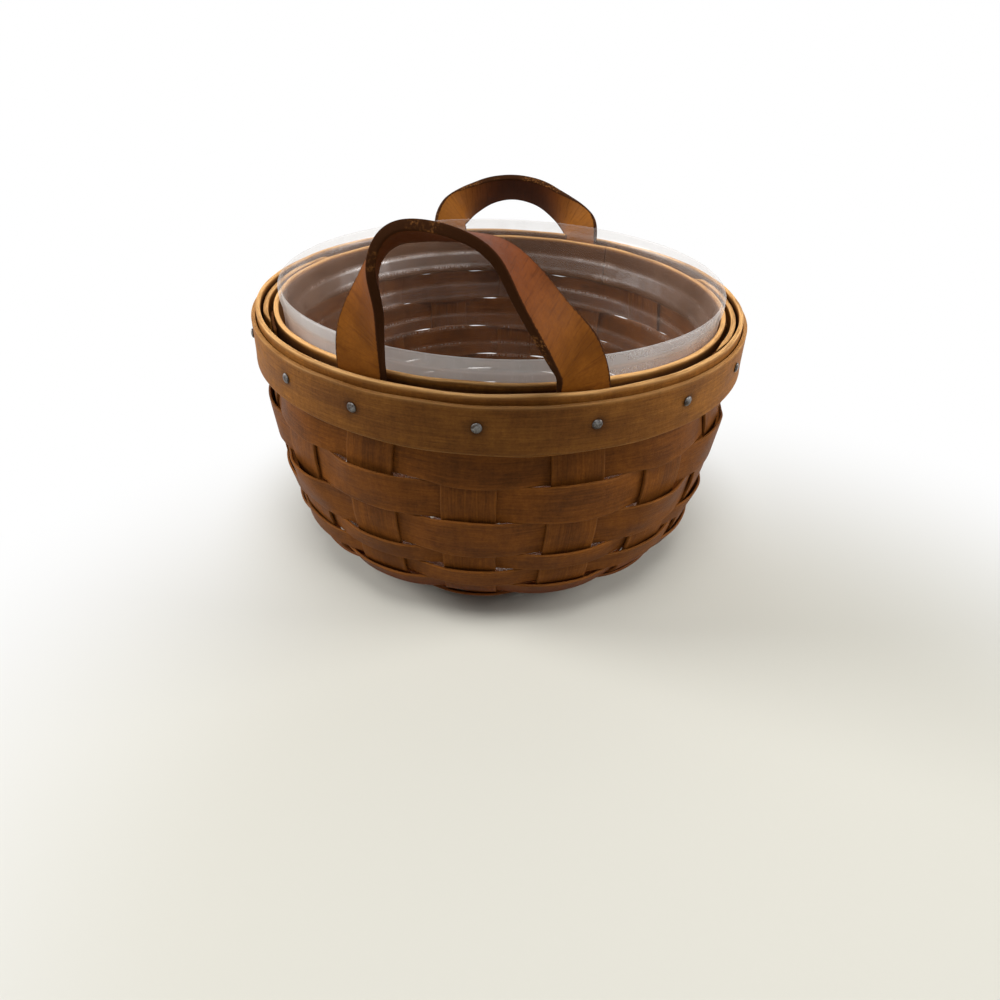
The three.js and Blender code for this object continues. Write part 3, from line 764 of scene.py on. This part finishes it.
# Side is -1 at the front, and feet are in degrees from there. Bend is where the strap goes from still to
# moving: two points in metres. Stations: share of the way from the middle to a foot, millimetres outwards
# from the feet and above the rim, then turn and tilt in degrees, which aim the strap's width.
EARS = {
    "front": {
        "side": -1,
        "width": 16.2,
        "feet": (-22.5, 22),
        "bend": ((0, -0.086, 0.096), (0, -0.086, 0.106)),
        "stations": [
            (-1, 0, -LEATHER_TAIL, 22.5, 0), (-1, 0, -8, 22.5, 0), (-1, 0, 0, 22.5, 0),
            (-0.975, 1.1, 8.5, 26, -4), (-0.92, 3.2, 15, 35, -9), (-0.82, 6.2, 24, 55, -10),
            (-0.73, 7.8, 35, 84, 3), (-0.5, 8.5, 42, 100, 23), (-0.12, 10, 42.8, 94, 20),
            (0.24, 10.6, 39.6, 94, 5), (0.49, 10.7, 30.5, 107, -13), (0.7, 9.4, 21, 116, -17),
            (0.83, 5.8, 14.5, 127, -13), (0.93, 1.6, 8.5, 138, -4), (1, 0, 0, 158, 0),
            (1, 0, -8, 158, 0), (1, 0, -LEATHER_TAIL, 158, 0),
        ],
    },
    "rear": {
        "side": 1,
        "width": 15.4,
        "feet": (-22, 20),
        "bend": ((0, 0.084, 0.0955), (0, 0.091, 0.1045)),
        "stations": [
            (-1, 0, -LEATHER_TAIL, 22, 0), (-1, 0, -8, 23, 0), (-1, 0, 0, 28, 0), (-1, 1.5, 4.5, 36, -8),
            (-0.95, 5.5, 7.6, 43, -22), (-0.87, 12, 8.6, 52, -37), (-0.72, 19, 10.6, 66, -46),
            (-0.46, 25, 13.6, 80, -49), (-0.1, 28, 14.8, 92, -48), (0.29, 27, 12.8, 105, -49),
            (0.57, 21.5, 9.2, 118, -48), (0.76, 14, 6.8, 131, -41), (0.89, 7, 5.4, 142, -27),
            (0.98, 2, 3.8, 147, -11), (1, 0, 0, 152, 0), (1, 0, -8, 158, 0), (1, 0, -LEATHER_TAIL, 160, 0),
        ],
    },
}


def leather_material():
    """Oiled leather: golden brown near the feet, paler near the rear ear's feet as painted light, and redder
    above, with darker blotches and pores, fine creases across the strap with painted shade in them, painted
    shade on the inner face towards the top of the loop, and a dark rough cut edge with paler patches along
    it, which are scuffs and a painted highlight."""
    made, tree = new_material("saddle_leather_hide")
    place = basket_place(tree)
    blotches = noise(tree, place, (0.06, 0.06, 0.06), detail=4, roughness=0.6)
    grain = noise(tree, place, (1.3, 1.3, 1.3), detail=5, roughness=0.7)
    creases = noise(tree, strip_place(tree), (1.0, 0.07, 0), detail=4, roughness=0.65, distortion=0.6)
    apex = painted(tree, "apex")
    edge = painted(tree, "edge")
    golden = mixed(tree, ranged(tree, blotches, 0.32, 0.68), srgb(106, 60, 16), srgb(132, 78, 24))
    # Painted light: the rear ear is paler where it is golden, near its feet.
    golden = mixed(tree, painted(tree, "lightened"), golden, srgb(138, 84, 30))
    red = mixed(tree, ranged(tree, blotches, 0.32, 0.68), srgb(92, 45, 20), srgb(114, 59, 29))
    colour = mixed(tree, apex, golden, red)
    colour = mixed(tree, 1.0, colour, ranged(tree, grain, 0.3, 0.7, 0.86, 1.08), "MULTIPLY")
    # Painted shade in the creases.
    colour = mixed(tree, ranged(tree, creases, 0.5, 0.68, 0.0, 0.42), colour, srgb(64, 32, 12))
    # Painted shade on the inner face towards the top of the loop, which faces down.
    painted_lighting = product(tree, apex, painted(tree, "inside"), 0.75)
    colour = mixed(tree, painted_lighting, colour, srgb(60, 30, 12))
    ragged = total(tree, edge, ranged(tree, grain, 0.3, 0.7, -0.3, 0.3))
    colour = mixed(tree, ranged(tree, ragged, 0.4, 0.8), colour, srgb(52, 28, 12))
    # Paler patches along the arris: scuffs, and a painted highlight.
    arris_patches = product(tree, ranged(tree, edge, 0.8, 1.0), ranged(tree, blotches, 0.5, 0.6))
    scuff_and_highlight = product(tree, arris_patches, ranged(tree, grain, 0.5, 0.6, 0.0, 0.8))
    colour = mixed(tree, scuff_and_highlight, colour, srgb(138, 90, 48))
    bump = relief(tree, total(tree, product(tree, grain, 0.6), creases))
    satin = total(tree, ranged(tree, grain, 0.3, 0.7, 0.42, 0.6), product(tree, edge, 0.3))
    sockets = {"Base Color": colour, "Roughness": satin, "Normal": bump, "Specular IOR Level": 0.03}
    surfaced(tree, node(tree, "BsdfPrincipled", sockets).outputs[0])
    return made


saddle_leather = leather_material()
leather_ring = section_ring(11, 4)

for where, ear in EARS.items():
    side = ear["side"]
    table = np.array(ear["stations"], float)
    left, right = (outward_at(np.radians(foot)) * FOOT_RADIUS + UPWARD * RIM_TOP for foot in ear["feet"])
    points = left + (right - left) * (table[:, :1] + 1) / 2
    points = (points + table[:, :3] * (0, -1, 1)) * (1, -side, 1)
    curve = softened(smooth_line(np.hstack([points, np.radians(table[:, 3:])]), EAR_STEPS), EAR_REACH)
    middle, turn, tilt = curve[:, :3], curve[:, 3], curve[:, 4]
    run = unit(np.gradient(middle, axis=0))
    across = np.stack([np.cos(turn) * np.cos(tilt), side * np.sin(turn) * np.cos(tilt), np.sin(tilt)], axis=1)
    across = unit(across - run * np.einsum("ij,ij->i", run, across)[:, None])
    outward = np.cross(run, across) * side
    in_slot = smooth_step(*SLOT_HEIGHTS, middle[:, 2])
    travel = distance_along(middle)
    wander = np.sin(travel / KNIFE_WAVES[0] + side) * np.sin(travel / KNIFE_WAVES[1])
    half_width = ear["width"] / 2 + KNIFE_WANDER * wander
    bow = in_slot / (2 * FOOT_RADIUS) - (1 - in_slot) * LEATHER_CURL
    sizes = (half_width, LEATHER_THICKNESS, LEATHER_EDGE)
    piece = strip(where + "_ear", middle, across, outward, *sizes, leather_ring, bow=bow)
    apex = smooth_step(*APEX_SHARES, np.minimum(travel, travel[-1] - travel) / travel[-1])
    paint(piece, "apex", np.repeat(apex, len(leather_ring)))
    # Which face is inside, for the painted shade near the top of the loop, and the rear ear for painted
    # light.
    paint(piece, "inside", np.tile(leather_ring[:, 3] < 0, len(middle)))
    paint(piece, "lightened", np.full(len(piece.data.vertices), where == "rear"))
    piece.data.materials.append(saddle_leather)
    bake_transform(piece)
    parts = ["strap", "left_bend", "right_bend", "left_tail", "right_tail"]
    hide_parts(*(f"{where}_ear_{part}" for part in parts))


# Liner
# A tub moulded from clear plastic, set loose in the basket to keep its inside clean. Its lip stands above the
# rim, stepped rings run round its wall, and its floor rises to a round punt. Use has left it slightly milky,
# with fine scuffs and glints along the rings. Painted light thickens its veil at the front near the lip and
# tints its haze warm brown lower down, and painted highlights of white milk run along the rings.

LINER_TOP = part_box("plastic_liner")[1].z / METRES
LINER_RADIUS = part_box("plastic_liner")[1].x / METRES
LINER_WALL = 1.0
LIP_HEIGHT = 4
LIP_STEP = 0.6
LIP_STEPS = 5  # points round the lip's top, with its ends
LIP_MARGIN = 0.3  # points this near the top sink to the start of the lip's rounding
LINER_DRAFT = 0.035  # the wall comes in by this much for each millimetre down
RINGS = 4
RING_TOP = 14.6
RING_PITCH = 14
RING_HEIGHT = 6
RING_STEP = 1.5
LINER_CORNER = 18
CORNER_STEPS = 8
LINER_FLOOR = 4.0
PUNT_FOOT = 32.3  # radius at which the floor starts to rise
PUNT_RADIUS = 18.3
PUNT_HEIGHT = 10.0
LINER_SIDES = 160
LINER_STEP = 0.5
LINER_REACH = 2  # points to each side over which its profile is smoothed
RIDGE_TURN = 0.22  # radians that the wall turns from one step to the next where a ring is sharpest
RUB_HEIGHTS = (RIM_TOP - 10, RIM_TOP - 18)  # between which the splints begin to rub its outside
LINER_SHIFT = 0.5  # it is loose and has slipped a little to the right


def liner_wall(depth, steps):
    """Outside radius of the wall at a depth below the top edge, after that many rings."""
    return LINER_RADIUS - LIP_STEP - LINER_DRAFT * depth - RING_STEP * steps


liner_line = [(LINER_RADIUS, LINER_TOP), (LINER_RADIUS, LINER_TOP - LIP_HEIGHT)]
liner_line.append((liner_wall(LIP_HEIGHT, 0), LINER_TOP - LIP_HEIGHT - LIP_STEP))
for i in range(RINGS):
    depth = RING_TOP + i * RING_PITCH
    liner_line.append((liner_wall(depth, i), LINER_TOP - depth))
    liner_line.append((liner_wall(depth + RING_HEIGHT, i + 1), LINER_TOP - depth - RING_HEIGHT))
corner_height = LINER_FLOOR + LINER_CORNER
corner_centre = liner_wall(LINER_TOP - corner_height, RINGS) - LINER_CORNER
corner = np.linspace(0, np.pi / 2, CORNER_STEPS)
corner_radii = corner_centre + LINER_CORNER * np.cos(corner)
corner_heights = corner_height - LINER_CORNER * np.sin(corner)
liner_line += [*zip(corner_radii, corner_heights)]
liner_line += [(PUNT_FOOT, LINER_FLOOR), (PUNT_RADIUS, PUNT_HEIGHT), (0, PUNT_HEIGHT)]
liner_outside = softened(even_line(np.array(liner_line), LINER_STEP), LINER_REACH)
liner_inside = liner_outside - outward_of(liner_outside) * LINER_WALL
liner_inside[-1, 0] = 0
lip_round = LINER_WALL / 2
lip_turn = np.linspace(0, np.pi, LIP_STEPS)[1:-1]
lip_radii = LINER_RADIUS - lip_round - lip_round * np.cos(lip_turn)
lip_heights = LINER_TOP - lip_round + lip_round * np.sin(lip_turn)
for face in (liner_outside, liner_inside):
    face[:, 1] -= lip_round * (face[:, 1] > LINER_TOP - LIP_MARGIN)
liner_profile = np.vstack([liner_inside[::-1], np.stack([lip_radii, lip_heights], axis=1), liner_outside])
liner_points = turned_points(liner_profile, LINER_SIDES) + (LINER_SHIFT, 0, 0)


def plastic_material():
    """Clear plastic that has been used. It mirrors most at a slant, with waves, and in broken ticks and
    patches along the attribute ridge. A faint cloudy veil with scuffs lies on it. Painted light thickens
    it at the front near the lip, and painted highlights of white milk run along the ridge. Its haze is
    white near the lip and at that front, and elsewhere painted warm brown, as light from the wood. Where
    the attribute rubbed is 1 it neither mirrors nor clouds."""
    made, tree = new_material("clear_plastic_sheet")
    place = basket_place(tree)
    bump = relief(tree, noise(tree, place, (0.12, 0.12, 0.06), detail=2), 0.5, 0.001)
    slant = node(tree, "LayerWeight", {"Blend": 0.5}).outputs["Facing"]
    ridge = painted(tree, "ridge")
    untouched = math(tree, "SUBTRACT", 1.0, painted(tree, "rubbed"))
    ticks = ranged(tree, noise(tree, place, (1.5, 1.5, 0.1), detail=2), 0.46, 0.58, 0.1, 1.0)
    patches = ranged(tree, noise(tree, place, (0.03, 0.03, 0.05), detail=2), 0.44, 0.56, 0.35, 1.0)
    glint = product(tree, ridge, patches)
    slanted = product(tree, math(tree, "POWER", slant, 4.0), 0.34)
    reflected = total(tree, slanted, 0.018, product(tree, glint, 0.5))
    broken = total(tree, product(tree, ridge, ticks), math(tree, "SUBTRACT", 1.0, ridge))
    reflected = product(tree, reflected, broken, untouched)
    clouds = noise(tree, place, (0.05, 0.05, 0.03), detail=4, roughness=0.6)
    scratches = noise(tree, place, (1.8, 1.8, 0.35), detail=5, roughness=0.7)
    cloudy = ranged(tree, clouds, 0.4, 0.68, 0.06, 0.1)
    scuffs = ranged(tree, scratches, 0.56, 0.7, 1.0, 1.5)
    at = node(tree, "SeparateXYZ", {0: place}).outputs
    # Painted light: the veil is thicker at the front near the lip.
    painted_lighting = product(tree, ranged(tree, at["Y"], -30.0, -80.0), ranged(tree, at["Z"], 84.0, 94.0))
    veil = total(tree, product(tree, cloudy, scuffs, untouched), product(tree, painted_lighting, 0.2))
    veil = product(tree, veil, total(tree, math(tree, "POWER", slant, 2.0), 1.0))
    # Painted highlight: white milk along the ridges.
    veil = total(tree, veil, product(tree, glint, 0.3))
    seen_through = node(tree, "BsdfTransparent", {"Color": (0.975, 0.968, 0.96, 1)}).outputs[0]
    satin = ranged(tree, ridge, 0.0, 0.6, 0.34, 0.24)
    shine = node(tree, "BsdfGlossy", {"Color": (1, 1, 1, 1), "Roughness": satin, "Normal": bump}).outputs[0]
    # The haze is white near the lip and at the front; elsewhere it is painted warm brown, as light from the
    # wood.
    whitened = math(tree, "MAXIMUM", ranged(tree, at["Z"], 93.0, 100.0), painted_lighting)
    haze = mixed(tree, whitened, (0.8, 0.54, 0.4, 1), (0.88, 0.86, 0.84, 1))
    milk_front = node(tree, "BsdfDiffuse", {"Color": haze}).outputs[0]
    milk_back = node(tree, "BsdfTranslucent", {"Color": haze}).outputs[0]
    milk = node(tree, "MixShader", {0: 0.4, 1: milk_front, 2: milk_back}).outputs[0]
    sheet = node(tree, "MixShader", {0: veil, 1: seen_through, 2: milk}).outputs[0]
    surfaced(tree, node(tree, "MixShader", {0: reflected, 1: sheet, 2: shine}).outputs[0])
    return made


clear_plastic = plastic_material()
liner = turned_solid("liner", liner_points)
turning = np.linalg.norm(np.diff(unit(np.diff(liner_profile, axis=0)), axis=0), axis=1)
outside = np.arange(len(liner_profile)) >= len(liner_inside)
rubs = smooth_step(*RUB_HEIGHTS, liner_profile[:, 1]) * outside
ridges = np.clip(np.pad(turning, 1) / RIDGE_TURN, 0, 1) * (liner_profile[:, 1] < RIM_TOP) * (1 - rubs)
for key, values in {"ridge": ridges, "rubbed": rubs}.items():
    paint(liner, key, np.concatenate([np.repeat(values[1:-1], LINER_SIDES), values[[0, -1]]]))
add(liner, clear_plastic, "liner", "clear_plastic", "plastic_liner")


# Floor and light
# A pale floor that fades to white, with soft light from both sides, above and behind.

FLOOR_RADIUS_METRES = 4.0
FLOOR_SIDES = 96
FADE_CENTRE = (0.07, -0.17, 0)
FADE_RADII = (0.11, 0.29)  # the paper fades to white between these distances from that centre, in metres
SHADE_RADII = (0.06, 0.125)  # but it keeps its shade near the basket, and fades only between these
ROOM_LIGHT = 0.22  # strength of the light that the white surroundings throw on the basket
LIGHT_AIM = (0, 0, 0.06)  # the middle of the basket, in metres

bpy.ops.mesh.primitive_circle_add(vertices=FLOOR_SIDES, radius=FLOOR_RADIUS_METRES, fill_type="NGON")
floor = bpy.context.object
floor.name = "floor"


def clear_view(tree):
    """1 for what is seen straight, mirrored or through something, and 0 for light that falls on things."""
    path = node(tree, "LightPath", {}).outputs
    straight = math(tree, "MAXIMUM", path["Is Camera Ray"], path["Is Transmission Ray"])
    return math(tree, "MAXIMUM", straight, path["Is Glossy Ray"])


floor_paper, tree = new_material("floor_paper")
place = node(tree, "TexCoord", {}).outputs["Object"]
away = node(tree, "VectorMath", {0: place, 1: FADE_CENTRE}, operation="DISTANCE").outputs["Value"]
near = node(tree, "VectorMath", {0: place}, operation="LENGTH").outputs["Value"]
fades = [ranged(tree, away, *FADE_RADII), ranged(tree, near, *SHADE_RADII)]
lightened = product(tree, *fades, clear_view(tree))
paper = node(tree, "BsdfDiffuse", {"Color": srgb(205, 203, 193)}).outputs[0]
white = node(tree, "Emission", {"Color": (1, 1, 1, 1), "Strength": 1.0}).outputs[0]
surfaced(tree, node(tree, "MixShader", {0: lightened, 1: paper, 2: white}).outputs[0])
floor.data.materials.append(floor_paper)

world = bpy.data.worlds.new("studio")
scene.world = world
world.use_nodes = True
tree = world.node_tree
tree.nodes.clear()
strength = ranged(tree, clear_view(tree), 0.0, 1.0, ROOM_LIGHT, 1.0)
sky = node(tree, "Background", {"Color": (1, 1, 1, 1), "Strength": strength}).outputs[0]
node(tree, "OutputWorld", {"Surface": sky})


def soft_light(name, place, size, watts):
    """A square lamp at a place in metres that faces the basket."""
    lamp = bpy.data.lights.new(name, "AREA")
    lamp.size = size
    lamp.energy = watts
    held = bpy.data.objects.new(name, lamp)
    held.location = place
    held.rotation_euler = (Vector(LIGHT_AIM) - Vector(place)).to_track_quat("-Z", "Y").to_euler()
    scene.collection.objects.link(held)


soft_light("left_light", (-1.0, -0.05, 0.55), 0.45, 10.5)
soft_light("right_light", (1.0, 0.1, 0.45), 0.45, 8)
soft_light("top_light", (0.05, -0.4, 1.2), 0.5, 7.5)
soft_light("back_light", (0.1, 0.8, 1.1), 0.9, 2)


# Camera
# In front of the basket and a little above its ears, looking down over the front one, as in the photograph.
# The place is in metres.

CAMERA_PLACE = (0.0256, -0.2761, 0.1871)
CAMERA_RIGHT = (0.994326, 0.102642, 0.027943)
CAMERA_UP = (-0.080274, 0.551622, 0.830222)
CAMERA_AHEAD = (-0.069802, 0.827754, -0.556732)

lens = bpy.data.cameras.new("camera")
lens.lens = 27
lens.sensor_width = 36
lens.clip_start = 0.01
camera = bpy.data.objects.new("camera", lens)
axes = np.stack([CAMERA_RIGHT, CAMERA_UP, -np.array(CAMERA_AHEAD)], axis=1)
camera.matrix_world = Matrix.Translation(CAMERA_PLACE) @ Matrix(axes.tolist()).to_4x4()
scene.collection.objects.link(camera)
scene.camera = camera
scene.view_settings.view_transform = "Standard"
